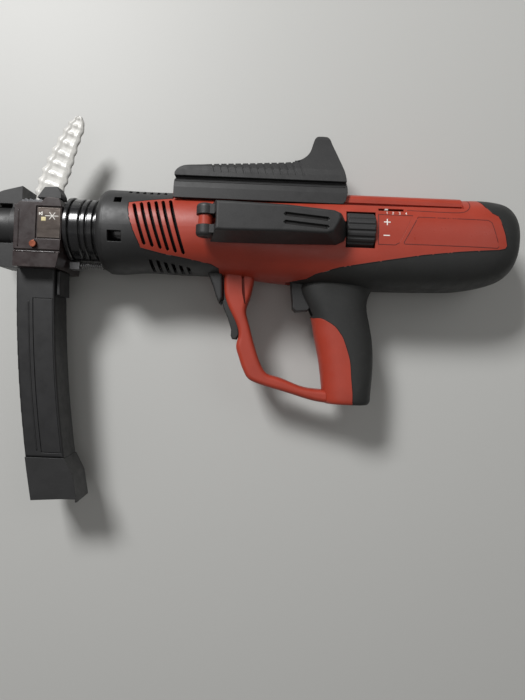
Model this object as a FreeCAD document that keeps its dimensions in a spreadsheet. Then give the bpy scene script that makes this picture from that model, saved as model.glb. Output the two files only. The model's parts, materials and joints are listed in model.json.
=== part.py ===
import FreeCAD, Part

# Powder-actuated nail gun with a curved nail magazine, as separate solids in one parametric document.
#
# The origin is the centre of the muzzle. +X runs back along the driving axis, +Y is the tool's top and +Z its
# left side, which faces up when the tool is laid down. Lengths are in millimetres.
import math
import os
import re

import Sketcher
from FreeCAD import Placement, Rotation, Vector

doc = FreeCAD.newDocument("nail_gun")
sheet = doc.addObject("Spreadsheet::Sheet", "dims")
NODES = []  # the objects that are exported, one for each sub-part

# ---------------------------------------------------------------- driving dimensions
DIMENSIONS = {
    "overall_length": 450,  # muzzle to the back of the butt
    "wall": 3,  # plastic shells
    "gap": 0.4,  # sliding clearance between bodies
    "side_flat": 37,  # flat sides of the housing, from the mid-plane
    # front sleeve and housing
    "sleeve_front": 104,
    "sleeve_edge": 110,
    "sleeve_radius": 34.2,
    "sleeve_bore": 27.5,
    "bed_start": 164.5,
    "bed_end": 398,
    "bed_half": 25,
    "bed_web": 22.4,
    "bed_low": 23.8,
    "bed_top": 34.4,
    "slot_top": 26.6,
    "slot_end": 396,
    "cavity_top": 20.8,
    # driving line
    "guide_seat": 41.5,
    "bore_radius": 5.5,
    "muzzle_radius": 9,
    "guide_radius": 12,
    "piston_guide_front": 62,
    "piston_guide_back": 256,
    "piston_guide_radius": 22,
    "piston_bore": 11.2,
    "rod_radius": 5,
    "rod_front": 92,
    "head_front": 240,
    "head_back": 254,
    "head_radius": 10.9,
    "ring_depth": 1.5,
    "ring_width": 1.6,
    "ring_pitch": 3.6,
    "buffer_front": 119,
    "buffer_back": 141,
    "stop_back": 149.5,
    "buffer_radius": 17.6,
    "receiver_front": 124,
    "receiver_back": 276,
    "receiver_radius": 28,
    "receiver_bore": 24.4,
    "chamber_front": 276.5,
    "chamber_back": 298,
    "chamber_bore": 3.6,
    # return unit, the ribbed barrel
    "unit_front": 76,
    "unit_back": 150,
    "flange_radius": 27,
    "rib_radius": 26,
    "unit_radius": 24,
    "unit_bore": 22.2,
    # nose
    "base_front": 36,
    "base_back": 75.5,
    "base_low": -36,
    "base_half": 27,
    "nail_channel_front": 40,
    "nail_channel_back": 60,
    "nail_channel_half": 8.2,
    "shoe_half": 19,
    # magazine
    "mag_front": 35.3,
    "mag_width": 32,
    "mag_half": 14.5,
    "mag_low": -228,
    "mag_bend": 1090,
    "foot_top": -192,
    "foot_step": 5.5,
    "nail_pitch": 17.5,
    "nail_radius": 2.2,
    "washer_radius": 7.2,
    # rod and spring below the barrel
    "feed_y": -29.6,
    "feed_radius": 1.5,
    "feed_back": 146,
    "clamp_back": 84,
    "coil_radius": 2.7,
    "coil_wire": 0.45,
    # cocking slide
    "slide_front": 165.2,
    "slide_back": 305,
    "slide_half": 28.4,
    "slide_low": 24.4,
    "slide_top": 41.6,
    "pad_low": 43.2,
    "pad_half": 25.4,
    "spur_top": 87,
    "runner_top": 26.2,
    # side lever
    "hinge_x": 194,
    "hinge_z": 45,
    "hinge_radius": 7.2,
    "pin_radius": 1.8,
    "lever_back": 304,
    "lever_low_z": 37.8,
    "lever_top_z": 58,
    "lever_shell": 2.5,
    # power wheel
    "wheel_front": 304.5,
    "wheel_width": 22,
    "wheel_y": 2.7,
    "wheel_z": 28,
    "wheel_radius": 14.2,
    "wheel_groove": 0.75,
    "spindle_radius": 3,
    "collar_radius": 5.5,
    "marker_y": 20.1,
    "marker_front": 329.5,
    "marker_travel": 20,
    # trigger and firing line
    "trigger_half": 8.5,
    "trigger_back": 286,
    "strip_front": 300.5,
    "strip_back": 323,
    "strip_half": 7.6,
    "strip_wall": 2,
    "cartridge_pitch": 10,
    "cartridge_radius": 3.4,
    "breech_back": 372,
    "pin_bore": 4.3,
    "firing_radius": 4,
    # grip and guard
    "grip_low": -138,
    "guard_half": 11,
    "guard_round": 4,
    "screw_radius": 2.6,
}

for row, (alias, value) in enumerate(DIMENSIONS.items(), start=1):
    sheet.set(f"A{row}", alias)
    sheet.set(f"B{row}", str(value))
    sheet.setAlias(f"B{row}", alias)
doc.recompute()


def dim(alias):
    return float(sheet.get(alias))


def bound(text):
    """An expression in the sheet's aliases, in the form that setExpression reads."""
    return re.sub(r"[a-z]\w*", r"dims.\g<0>", text)


def number(text):
    """The value of an expression in the sheet's aliases, or of a plain number."""
    if not isinstance(text, str):
        return float(text)
    return float(add_terms(text))


def add_terms(text):
    """Adds up terms such as 'a + b - 2*c', left to right."""
    total = 0.0
    for sign, term in re.findall(r"([+-]?)\s*([^+-]+)", text.replace(" ", "")):
        product = 1.0
        for factor in term.split("*"):
            product *= dim(factor) if factor[0].isalpha() else float(factor)
        total += -product if sign == "-" else product
    return total


def bind(obj, prop, text):
    """Sets a property from a number, or binds it to the sheet."""
    if isinstance(text, str):
        obj.setExpression(prop, bound(text))
    else:
        parts = prop.split(".")
        if parts[0] == "Placement":
            place = obj.Placement
            setattr(place.Base, parts[-1], float(text))
            obj.Placement = place
        else:
            setattr(obj, prop, text)


# ---------------------------------------------------------------- ways to make a piece
TURN = {
    "x": Rotation(Vector(0, 1, 0), 90),
    "y": Rotation(Vector(1, 0, 0), -90),
    "z": Rotation(),
}


def place(obj, x, y, z, rotation=None):
    obj.Placement = Placement(Vector(0, 0, 0), rotation or Rotation())
    for axis, text in zip("xyz", (x, y, z)):
        bind(obj, f"Placement.Base.{axis}", text)


def box(name, x, y, z, length, width, height):
    obj = doc.addObject("Part::Box", name)
    for prop, text in (("Length", length), ("Width", width), ("Height", height)):
        bind(obj, prop, text)
    place(obj, x, y, z)
    return obj


def cylinder(name, radius, length, x, y=0, z=0, axis="x"):
    obj = doc.addObject("Part::Cylinder", name)
    bind(obj, "Radius", radius)
    bind(obj, "Height", length)
    place(obj, x, y, z, TURN[axis])
    return obj


def cut(name, base, *tools):
    obj = doc.addObject("Part::Cut", name)
    obj.Base = base
    obj.Tool = tools[0] if len(tools) == 1 else fuse(f"{name}_tools", *tools)
    return obj


def fuse(name, *pieces):
    obj = doc.addObject("Part::MultiFuse", name)
    obj.Shapes = list(pieces)
    return obj


def common(name, base, tool):
    obj = doc.addObject("Part::Common", name)
    obj.Base, obj.Tool = base, tool
    return obj


def feature(name, shape):
    obj = doc.addObject("Part::Feature", name)
    obj.Shape = shape
    return obj


def node(obj, label):
    """Names a finished sub-part."""
    obj.Label = label
    NODES.append(obj)
    return obj


def outline_sketch(body, points):
    """A closed sketch of straight lines on the body's XY plane, each corner driven by two dimensions."""
    sketch = body.newObject("Sketcher::SketchObject", f"{body.Name}_outline")
    plane = next(f for f in body.Origin.OriginFeatures if f.Role == "XY_Plane")
    sketch.AttachmentSupport = [(plane, "")]
    sketch.MapMode = "FlatFace"
    corners = [Vector(number(x), number(y), 0) for x, y in points]
    count = len(corners)
    for i in range(count):
        sketch.addGeometry(Part.LineSegment(corners[i], corners[(i + 1) % count]), False)
    for i in range(count):
        sketch.addConstraint(Sketcher.Constraint("Coincident", i, 2, (i + 1) % count, 1))
    for i, point in enumerate(points):
        for kind, text in zip(("DistanceX", "DistanceY"), point):
            index = sketch.addConstraint(Sketcher.Constraint(kind, -1, 1, i, 1, number(text)))
            if isinstance(text, str):
                sketch.setExpression(f"Constraints[{index}]", bound(text))
    return sketch


def round_edges(body, base, radius, wanted):
    """Fillets the edges of the last feature for which wanted(edge) is true."""
    doc.recompute()
    names = [f"Edge{i}" for i, edge in enumerate(base.Shape.Edges, start=1) if wanted(edge)]
    fillet = body.newObject("PartDesign::Fillet", f"{body.Name}_round")
    fillet.Base = (base, names)
    bind(fillet, "Radius", radius)
    doc.recompute()
    return fillet


def plate(label, points, thickness, z=None):
    """A padded outline: about the mid-plane, or upwards from height z."""
    body = doc.addObject("PartDesign::Body", label)
    sketch = outline_sketch(body, points)
    if z is not None:
        sketch.AttachmentOffset = Placement(Vector(0, 0, number(z)), Rotation())
        if isinstance(z, str):
            sketch.setExpression("AttachmentOffset.Base.z", bound(z))
    pad = body.newObject("PartDesign::Pad", f"{label}_pad")
    pad.Profile = sketch
    pad.Midplane = z is None
    bind(pad, "Length", thickness)
    doc.recompute()
    return body


def turned(label, points):
    """A body of revolution about the driving axis, from an outline of (x, radius)."""
    body = doc.addObject("PartDesign::Body", label)
    sketch = outline_sketch(body, points)
    turn = body.newObject("PartDesign::Revolution", f"{label}_turn")
    turn.Profile = sketch
    axis = next(f for f in body.Origin.OriginFeatures if f.Role == "X_Axis")
    turn.ReferenceAxis = (axis, [""])
    turn.Angle = 360
    doc.recompute()
    return body


def along_z(edge):
    ends = edge.Vertexes
    return len(ends) == 2 and abs(ends[0].Z - ends[1].Z) > 0.9 * edge.Length


def at_corner(edge, corners):
    return along_z(edge) and any(
        abs(edge.Vertexes[0].X - number(x)) < 0.01 and abs(edge.Vertexes[0].Y - number(y)) < 0.01
        for x, y in corners
    )


def power(value, exponent):
    return math.copysign(abs(value) ** exponent, value)


def oval(x, top, bottom, half, sharp_top, sharp_bottom, inset=0.0, count=28):
    """A closed superellipse across the driving axis: sharpness 2 is an ellipse, and more is squarer."""
    mid = (top + bottom) / 2
    points = []
    for i in range(count):
        turn = 2 * math.pi * i / count
        upper = math.sin(turn) > 0
        sharp = sharp_top if upper else sharp_bottom
        rise = (top - mid - inset) if upper else (mid - bottom - inset)
        points.append(
            Vector(
                x,
                mid + rise * power(math.sin(turn), 2 / sharp),
                (half - inset) * power(math.cos(turn), 2 / sharp),
            )
        )
    curve = Part.BSplineCurve()
    curve.interpolate(Points=points, PeriodicFlag=True)
    return Part.Wire([curve.toShape()])


def loft(wires):
    return Part.makeLoft(wires, True, False)


def prism(points, low, high):
    """A polygon in the XY plane, raised from z = low to z = high."""
    corners = [Vector(x, y, low) for x, y in points]
    face = Part.Face(Part.makePolygon([*corners, corners[0]]))
    return face.extrude(Vector(0, 0, high - low))


def block(x_range, y_range, z_range):
    (x0, x1), (y0, y1), (z0, z1) = x_range, y_range, z_range
    return Part.makeBox(x1 - x0, y1 - y0, z1 - z0, Vector(x0, y0, z0))


def rod(radius, x0, x1, y=0.0, z=0.0):
    return Part.makeCylinder(radius, x1 - x0, Vector(x0, y, z), Vector(1, 0, 0))


def coil(radius, wire, x0, x1, turns, y, z):
    """A compression spring along X with its ends at x0 and x1."""
    pitch = (x1 - x0 - 2 * wire) / turns
    path = Part.makeHelix(pitch, pitch * turns, radius)
    section = Part.Wire([Part.Circle(Vector(radius, 0, 0), Vector(0, 1, 0), wire).toShape()])
    spring = Part.Wire(path.Edges).makePipeShell([section], True, True)
    spring.Placement = Placement(Vector(x0 + wire, y, z), TURN["x"])
    return spring


FAR = 80.0  # beyond the tool's sides


def outline(*runs):
    """A closed wire in the XY plane: a run of two points is a line, a longer one a spline through them."""
    edges = []
    for run in runs:
        points = [Vector(x, y, 0) for x, y in run]
        if len(points) == 2:
            edges.append(Part.LineSegment(*points).toShape())
        else:
            curve = Part.BSplineCurve()
            curve.interpolate(Points=points)
            edges.append(curve.toShape())
    return Part.Wire(Part.__sortEdges__(edges))


def raised(wire, low, high):
    face = Part.Face(wire)
    solid = face.extrude(Vector(0, 0, high - low))
    solid.translate(Vector(0, 0, low))
    return solid


def rim_edges(shape, height):
    """The edges that lie in the plane z = height."""
    return [
        edge
        for edge in shape.Edges
        if abs(edge.BoundBox.ZMin - height) < 1e-3 and abs(edge.BoundBox.ZMax - height) < 1e-3
    ]


def softened(shape, radius, *heights):
    """Rounds the rims at the given heights, or leaves them sharp where no fillet fits."""
    for height in heights:
        try:
            rounded = shape.makeFillet(radius, rim_edges(shape, height))
            if rounded.isValid():
                shape = rounded
        except Part.OCCError:
            pass
    return shape


def one_solid(shape):
    """The largest solid of a shape, without the splinters that a cut may leave."""
    return max(shape.Solids, key=lambda solid: solid.Volume)


# ---------------------------------------------------------------- the housing's form
# Sections along the axis: x, top, depth below the axis, half width, sharpness above and below.
SECTIONS = [
    (104, 34.2, 34.2, 34.2, 2, 2),
    (150, 34.2, 34.2, 34.2, 2, 2),
    (200, 34.2, 34.4, 34.2, 2, 2.05),
    (260, 34.4, 38.5, 35.6, 2.2, 2.4),
    (330, 34.4, 41, 37.1, 2.4, 2.8),
    (395, 36, 39.5, 37.4, 2.5, 2.9),
    (420, 36.6, 36, 36.4, 2.5, 2.9),
    (436, 34.5, 30.5, 32.8, 2.4, 2.7),
    (446, 27.5, 21, 25.4, 2.3, 2.5),
    (450, 19, 9, 16, 2.2, 2.3),
]


STATIONS = (104, 135, 166, 194, 214, 236, 260, 284, 308, 332, 358, 384, 404, 418, 429, 438, 444, 448, 450)


def eased(column, x):
    """A column of the section table at x, by a monotone cubic through its rows."""
    rows = [(row[0], row[column]) for row in SECTIONS]
    slopes = [(b[1] - a[1]) / (b[0] - a[0]) for a, b in zip(rows, rows[1:])]
    tangents = [slopes[0]]
    for before, after in zip(slopes, slopes[1:]):
        tangents.append(0 if before * after <= 0 else 2 * before * after / (before + after))
    tangents.append(slopes[-1])
    index = max(i for i in range(len(slopes)) if x >= rows[i][0])
    (x0, y0), (x1, y1) = rows[index : index + 2]
    span = x1 - x0
    u = (x - x0) / span
    return (
        y0 * (1 + 2 * u) * (1 - u) ** 2
        + span * tangents[index] * u * (1 - u) ** 2
        + y1 * u * u * (3 - 2 * u)
        + span * tangents[index + 1] * u * u * (u - 1)
    )


def housing_form(inset=0.0, start=0.0, end=0.0):
    wires = []
    for station in STATIONS:
        top, low, half, above, below = (eased(column, station) for column in range(1, 6))
        x = station
        if station == STATIONS[0]:
            x += start
        if station > 430:
            x -= end
        wires.append(oval(x, top, -low, half, above, below, inset))
    form = loft(wires)
    return form.common(block((0, 500), (-FAR, FAR), (inset - dim("side_flat"), FAR)))


wall = dim("wall")
gap = dim("gap")
sleeve_front = dim("sleeve_front")
outer = housing_form()
core = housing_form(0.7, -1, 0.7)  # what lies under the inlaid badges

corner = Part.makeTorus(27.9, 6.6, Vector(110.3, 0, 0), Vector(1, 0, 0)).fuse(rod(27.9, 103, 110.4))
outer = outer.cut(rod(60, 103, 110.3).cut(corner))

# The prismatic bed that the cocking slide runs on: a web in the slots, and a flange over it.
bed_top = dim("bed_top")
bed_half = dim("bed_half")
bed_web = dim("bed_web")
bed_low = dim("bed_low")
slot_top = dim("slot_top")
bed_start = dim("bed_start")
bed_end = dim("bed_end")


def across(points, x0, x1):
    """An outline of (z, y) swept along the driving axis."""
    corners = [Vector(x0, y, z) for z, y in points]
    face = Part.Face(Part.makePolygon([*corners, corners[0]]))
    return face.extrude(Vector(x1 - x0, 0, 0))


def mirrored(points):
    """An outline's right-hand half, given as (z, y) from bottom to top, with its mirror image."""
    return [*points, *[(-z, y) for z, y in reversed(points)]]


flange = mirrored([(bed_half, slot_top), (bed_half, 29.5), (23.6, 32.2), (20.5, 34), (17.5, bed_top)])
bed = across(flange, bed_start, bed_end)
bed = bed.fuse(block((bed_start, bed_end), (10, slot_top + 1), (-bed_web, bed_web)))
above = block((bed_start - gap, bed_end), (bed_low, FAR), (-FAR, FAR))
outer = outer.cut(above).fuse(bed.common(block((0, 500), (12, FAR), (-FAR, FAR)))).removeSplitter()

cavity = housing_form(wall, 9, wall)
cavity = cavity.cut(block((bed_start - 4, 500), (dim("cavity_top"), FAR), (-FAR, FAR)))
cavity = cavity.fuse(rod(dim("sleeve_bore"), 100, 120))
feed_hole = rod(2.2, 100, 168, dim("feed_y"))
shell = outer.cut(cavity).cut(feed_hole)
shell = shell.cut(rod(dim("receiver_radius") + 0.05, 118, dim("chamber_front") + 0.2))
shell = shell.cut(rod(26.1, dim("chamber_front"), dim("chamber_back") + 2))

# ---------------------------------------------------------------- where the shells meet, seen from the side
SLEEVE = [
    (90, 70), (bed_start, 70), (bed_start, 24.2), (147.7, 21.9), (129.9, 18.5), (130.4, 12), (132, 4.8),
    (135.2, -4.5), (139, -13.4), (141.2, -17.8), (157.7, -21.2), (174.2, -23.6), (196.9, -27.3),
    (203.2, -30.1), (205, -70), (90, -70),
]
REAR = [
    (254, -70), (254, -40), (260.7, -38.1), (275.5, -35.9), (282.7, -32.4), (300.6, -27.3), (337.8, -20.6),
    (365.7, -15.7), (393.6, -12.1), (425.3, -9), (430.5, -7.6), (432.1, -5.2), (430.3, 3), (424.9, 18.3),
    (419.5, 20.9), (415.5, 26), (412.8, 33.1), (411, 70), (480, 70), (480, -70),
]
sleeve_zone = prism(SLEEVE, -FAR, FAR)
rear_zone = prism(REAR, -FAR, FAR)

sleeve = shell.common(sleeve_zone)
rear = shell.common(rear_zone)
middle = shell.cut(sleeve_zone).cut(rear_zone)

# Cooling slots: slanted ones through the panel's sides, and short ones above and below the sleeve.
VENTS = list(
    zip(
        [(134.6, 16.7), (140.2, 18), (145.8, 18.9), (151.6, 19.7), (157.2, 20.4), (163.1, 21.2)],
        [(144, -14.4), (150.4, -15.7), (156.8, -16.9), (162.7, -18), (168.9, -19.2), (175.2, -20.2)],
    )
)
for (x0, y0), (x1, y1) in VENTS:
    half = 1.4
    slot = [(x0 - half, y0), (x1 - half, y1), (x1, y1 - 1.2), (x1 + half, y1), (x0 + half, y0), (x0, y0 + 1.2)]
    for side in (-1, 1):
        middle = middle.cut(prism(slot, *sorted((side * 12, side * FAR))))
for i in range(6):
    x = 127 + 5.8 * i
    top_slot = block((x, x + 2.8), (26, FAR), (8, 19))
    sleeve = sleeve.cut(top_slot).cut(top_slot.mirror(Vector(), Vector(0, 0, 1)))
for i in range(6):
    x = 146 + 6.1 * i
    low_slot = prism([(x, -24.5 - i), (x + 2.8, -25 - i), (x + 5.3, -40), (x + 2.5, -40)], 5, 22)
    sleeve = sleeve.cut(low_slot).cut(low_slot.mirror(Vector(), Vector(0, 0, 1)))
for side in (-1, 1):
    upper, lower = ((118, 124), (18, 23)), ((115, 126), (-14, -5.5))
    for (x_range, y_range) in (upper, lower):
        sleeve = sleeve.cut(block(x_range, y_range, sorted((side * 15, side * FAR))))

# Openings for the wheel, the marker, the trigger and the cartridge strip.
wheel_y, wheel_z = dim("wheel_y"), dim("wheel_z")
wheel_front = dim("wheel_front")
wheel_back = wheel_front + dim("wheel_width")
middle = middle.cut(block((wheel_front - 0.6, wheel_back + 0.6), (-11.9, 17.3), (20, FAR)))
middle = middle.cut(block((wheel_front - 5, wheel_front + 1), (-3.4, 8.8), (20, FAR)))
marker_y = dim("marker_y")
marker_front = dim("marker_front")
marker_back = marker_front + dim("marker_travel")
middle = middle.cut(block((marker_front, marker_back), (marker_y - 1, marker_y + 1), (20, FAR)))
trigger_half = dim("trigger_half")
trigger_gate = block((259, 287), (-60, -26), (-trigger_half - 0.6, trigger_half + 0.6))
strip_front, strip_back = dim("strip_front"), dim("strip_back")
strip_half = dim("strip_half")
strip_gate = block((strip_front - 0.2, strip_back + 0.3), (-60, -20), (-strip_half - 0.2, strip_half + 0.2))
middle = middle.cut(trigger_gate)
rear = rear.cut(trigger_gate).cut(strip_gate)

# Badges laid into the left side: the name panel (left blank) and the power scale.
BADGE = [(349.5, -6.4), (360.4, 14.6), (415.6, 14.2), (418.6, 12.4), (425, -6), (423.6, -7.6), (350.2, -7.6)]
SCALE = [(329.2, 15.8), (329.2, -8.6), (342.6, -8.6), (346.2, -6.6), (356.4, 15.8)]
skin = outer.cut(core)
left_side = block((300, 460), (-30, 24), (10, FAR))
badge = skin.common(prism(BADGE, 10, FAR)).common(left_side)
scale = skin.common(prism(SCALE, 10, FAR)).common(left_side)
middle = middle.cut(badge).cut(scale)

left_zone = block((0, 500), (-FAR, FAR), (0, FAR))
right_zone = block((0, 500), (-FAR, FAR), (-FAR, 0))

# ---------------------------------------------------------------- grip and hand guard


def grip_section(y, x0, x1, half, sharp=2.5, count=24):
    points = []
    for i in range(count):
        turn = 2 * math.pi * i / count
        points.append(
            Vector(
                (x0 + x1) / 2 + (x1 - x0) / 2 * power(math.cos(turn), 2 / sharp),
                y,
                half * power(math.sin(turn), 2 / sharp),
            )
        )
    curve = Part.BSplineCurve()
    curve.interpolate(Points=points, PeriodicFlag=True)
    return Part.Wire([curve.toShape()])


# Heights down the grip: y, front, back, half width.
GRIP = [
    (-28, 266, 345, 19),
    (-40, 270.5, 333.5, 18.6),
    (-53, 274.5, 328.8, 18),
    (-66, 281.5, 330.6, 17.5),
    (-81, 285, 334, 17.3),
    (-98, 289, 335.8, 17.4),
    (-119, 292.6, 335.6, 17.6),
    (-132, 294, 334.9, 17.6),
    (-136, 294.6, 334.4, 17),
    (-138, 296.5, 332.6, 15.4),
]
grip = loft([grip_section(*row) for row in GRIP])
grip_inside = loft([grip_section(y, x0 + 2.8, x1 - 2.8, half - 2.8) for y, x0, x1, half in GRIP])
grip_floor = block((200, 400), (dim("grip_low") + 3, 0), (-FAR, FAR))
grip = grip.cut(outer)
channel = block((strip_front - 0.2, strip_back + 0.3), (-150, 0), (-strip_half - 0.2, strip_half + 0.2))
grip = grip.cut(grip_inside.common(grip_floor)).cut(channel)
trigger_room = block((250, 291), (-66, -26), (-trigger_half - 0.6, trigger_half + 0.6))
trigger_room = trigger_room.common(prism([(250, -26), (291, -26), (289, -60), (281, -66), (250, -66)], -FAR, FAR))
grip = grip.cut(trigger_room)
INSERT = [
    (270, -66.4), (281, -66.5), (290.3, -67.2), (300.4, -72.9), (305.2, -78.4), (308.7, -84.1), (313.7, -98.2),
    (315.2, -106), (316, -114.7), (317.6, -128), (318.5, -150), (270, -150),
]
insert_zone = prism(INSERT, -FAR, FAR)
grip_insert = one_solid(grip.common(insert_zone))
grip_cover = one_solid(grip.cut(insert_zone))

guard_half = dim("guard_half")
GUARD_OUTER = [
    (206.6, -29), (207.4, -40), (208.4, -50), (213.5, -63.5), (220.3, -77.7), (221.2, -84), (219.6, -92.5),
    (222, -101.6), (224.5, -108.8), (227, -114.2), (230.6, -119.7), (236.3, -122.8), (247.5, -126.2),
    (261.1, -129.6), (275, -133.4), (289.3, -136.7), (303, -137.7), (319, -137.7),
]
GUARD_INNER = [
    (319, -127.6), (303, -127.6), (292.2, -126.9), (277.7, -125.4), (260.7, -119.5), (252.5, -117.2),
    (247.2, -115.6), (242.4, -110.3), (236.3, -95.9), (233, -86), (229.8, -75), (227.4, -67.5), (226.6, -63),
    (227.2, -58.8), (229.4, -52), (231.2, -44), (232.4, -36), (232.8, -29),
]
guard_wire = outline(
    GUARD_OUTER, [GUARD_OUTER[-1], GUARD_INNER[0]], GUARD_INNER, [GUARD_INNER[-1], GUARD_OUTER[0]]
)
guard = raised(guard_wire, -guard_half, guard_half)
guard = softened(guard, dim("guard_round"), guard_half, -guard_half)
guard = guard.cut(outer).cut(loft([grip_section(*row) for row in GRIP]))
PAD = [(205.6, -55.5), (208.2, -53.6), (211, -54.2), (214.6, -61.4), (218.4, -70), (221, -77), (221.6, -83.4),
       (219.2, -87.4), (215.9, -87.2), (214.6, -84.4), (214.9, -79.4), (211.8, -70.4), (208.2, -62.4)]


def grown(points, by):
    """A polygon moved outwards by a distance."""
    wire = Part.makePolygon([Vector(x, y, 0) for x, y in [*points, points[0]]])
    return wire.makeOffset2D(by)


groove = [(221.6, -29), (223.8, -29), (224.6, -42), (225.8, -52), (226.4, -57.6), (225.2, -57.2), (223, -48)]
for z_range in ((guard_half - 4.5, FAR), (-FAR, 4.5 - guard_half)):
    guard = guard.cut(prism(groove, *z_range))
pad_half = 7.5
pocket_wire = grown(PAD, gap)
pocket = raised(pocket_wire, -pad_half - gap, pad_half + gap)
pocket = pocket.fuse(pocket.translated(Vector(-3, 0, 0))).fuse(pocket.translated(Vector(-6, 0, 0)))
pocket = pocket.fuse(raised(pocket_wire, -pad_half - gap, pad_half + gap).translated(Vector(3, 0, 0)))
guard = one_solid(guard.cut(pocket))
guard_pad = softened(raised(grown(PAD, 0.01), -pad_half, pad_half), 1.2, pad_half, -pad_half)

# Screws that hold the guard, from the right side.
SCREWS = [(228.6, -43.4), (250.5, -121.6), (287.6, -131.4)]
screw_radius = dim("screw_radius")
screw_bits, screw_holes = [], []
for x, y in SCREWS:
    head = Part.makeCylinder(screw_radius, 2.4, Vector(x, y, 0.5 - guard_half))
    shank = Part.makeCylinder(1.6, 12, Vector(x, y, 2.9 - guard_half))
    socket = Part.makeCylinder(1.7, 1.4, Vector(x, y, 0.5 - guard_half))
    screw_bits.append(head.fuse(shank).cut(socket))
    screw_holes.append(Part.makeCylinder(screw_radius + 0.15, 5, Vector(x, y, -2 - guard_half)))
    screw_holes.append(Part.makeCylinder(1.65, 12.2, Vector(x, y, 2.8 - guard_half)))
guard = guard.cut(Part.makeCompound(screw_holes))

# The sleeve's fin, which runs down the front of the guard to the button.
FIN = [(190, -28), (194.5, -35), (198, -43), (201, -52), (204.2, -58.6), (206.6, -52.8), (206.2, -42), (205.2, -29)]
fin = softened(prism(FIN, -guard_half, guard_half), 2, guard_half, -guard_half)
fin = one_solid(fin.cut(outer).cut(guard).cut(pocket))

node(feature("sleeve_fin", fin), "sleeve_fin")
node(feature("front_sleeve", one_solid(sleeve)), "front_sleeve")
node(feature("housing_left", one_solid(middle.common(left_zone))), "housing_left")
node(feature("housing_right", one_solid(middle.common(right_zone))), "housing_right")
node(feature("rear_cover_left", one_solid(rear.common(left_zone))), "rear_cover_left")
node(feature("rear_cover_right", one_solid(rear.common(right_zone))), "rear_cover_right")
node(feature("side_badge", one_solid(badge)), "side_badge")
node(feature("power_scale", one_solid(scale)), "power_scale")
node(feature("grip_cover", grip_cover), "grip_cover")
node(feature("grip_insert", grip_insert), "grip_insert")
node(feature("hand_guard", guard), "hand_guard")
node(feature("guard_screws", Part.makeCompound(screw_bits)), "guard_screws")
node(feature("guard_button", guard_pad), "guard_button")

# ---------------------------------------------------------------- driving line, inside the housing
receiver = cut(
    "receiver",
    cylinder("receiver_body", "receiver_radius", "receiver_back - receiver_front", "receiver_front"),
    cylinder("receiver_bore_tool", "receiver_bore", "receiver_back - receiver_front + 2", "receiver_front - 1"),
)
node(receiver, "receiver_sleeve")

chamber_outline = [
    ("chamber_front", "chamber_bore"), ("chamber_front", 24), (278, 26), ("chamber_back", 26),
    ("chamber_back", "chamber_bore"),
]
node(turned("chamber", chamber_outline), "chamber_block")

guide_outline = [
    ("strip_front", -135.5), ("strip_front", 18), ("strip_back", 18), ("strip_back", -135.5),
]
strip_shell = plate("strip_shell", guide_outline, "2*strip_half")
strip_room = box(
    "strip_room", "strip_front + strip_wall", -140, "strip_wall - strip_half",
    "strip_back - strip_front - 2*strip_wall", 156, "2*strip_half - 2*strip_wall",
)
chamber_port = cylinder("chamber_port", 4.6, "strip_back - strip_front + 2", "strip_front - 1")
node(cut("strip_guide", strip_shell, strip_room, chamber_port), "cartridge_guide")

breech_outline = [
    ("strip_back + 0.3", -15), ("strip_back + 0.3", 14), (341, 14), (352, 9), (352, -9), (341, -15),
]
breech = plate("breech_body", breech_outline, 24)
breech_bore = cylinder("breech_bore", "pin_bore", 40, "strip_back - 1")
node(cut("breech", breech, breech_bore), "breech_block")

firing_outline = [
    (324.6, 0), (324.6, 1.6), (327.5, "firing_radius"), (373, "firing_radius"), (373, 6.4), (377, 6.4), (377, 0),
]
node(turned("firing", firing_outline), "firing_pin")
node(feature("firing_spring", coil(4.8, 0.6, 377.3, 404.6, 9, 0, 0)), "firing_pin_spring")
seat_outline = [(405, -12), (405, 12), (411, 12), (411, -12)]
node(plate("spring_seat_body", seat_outline, 26), "spring_seat")

# ---------------------------------------------------------------- piston and its guide
guide_profile = [
    (76, 6), (76, "piston_guide_radius"), (157, "piston_guide_radius"), (157, 17), ("piston_guide_back", 17),
    ("piston_guide_back", "piston_bore"), ("stop_back + 0.2", "piston_bore"), ("stop_back + 0.2", "buffer_radius"),
    ("buffer_front - 0.2", "buffer_radius"), ("buffer_front - 0.2", 6),
]
piston_guide = turned("guide_tube", guide_profile)
gas_ports = []
for index, x in enumerate((176, 188, 232, 244)):
    port = cylinder(f"gas_port_{index}", 2.4, 50, x, 0, -25, "z")
    gas_ports.append(port)
node(cut("piston_guide_cut", piston_guide, *gas_ports), "piston_guide")

ring_start = "head_front + 2.4"
piston_profile = [("rod_front", 0), ("rod_front", 4.4), (92.6, "rod_radius"), ("head_front - 3", "rod_radius")]
piston_profile.append(("head_front", 8))
piston_profile.append(("head_front", "head_radius"))
for i in range(3):
    start = f"head_front + 2.4 + {i}*ring_pitch"
    piston_profile += [
        (start, "head_radius"),
        (start, "head_radius - ring_depth"),
        (f"{start} + ring_width", "head_radius - ring_depth"),
        (f"{start} + ring_width", "head_radius"),
    ]
piston_profile += [("head_back", "head_radius"), ("head_back", 0)]
node(turned("piston_body", piston_profile), "piston")

rings = []
for i in range(3):
    start = f"head_front + 2.4 + {i}*ring_pitch"
    ring_profile = [
        (start, "head_radius - ring_depth"), (start, "head_radius"), (f"{start} + ring_width", "head_radius"),
        (f"{start} + ring_width", "head_radius - ring_depth"),
    ]
    rings.append(turned(f"ring_{i}", ring_profile))
node(fuse("rings", *rings), "piston_rings")

buffer_profile = [
    ("buffer_front", 6), ("buffer_front", 17.3), (127, 17.3), (129, 16), (131, 17.3), ("buffer_back", 17.3),
    ("buffer_back", 6),
]
node(turned("buffer_body", buffer_profile), "buffer")
stop_profile = [
    ("buffer_back + 0.1", 6), ("buffer_back + 0.1", 17.3), ("stop_back", 17.3), ("stop_back", 8), (145.5, 6),
]
node(turned("stop_body", stop_profile), "stop_ring")

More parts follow.
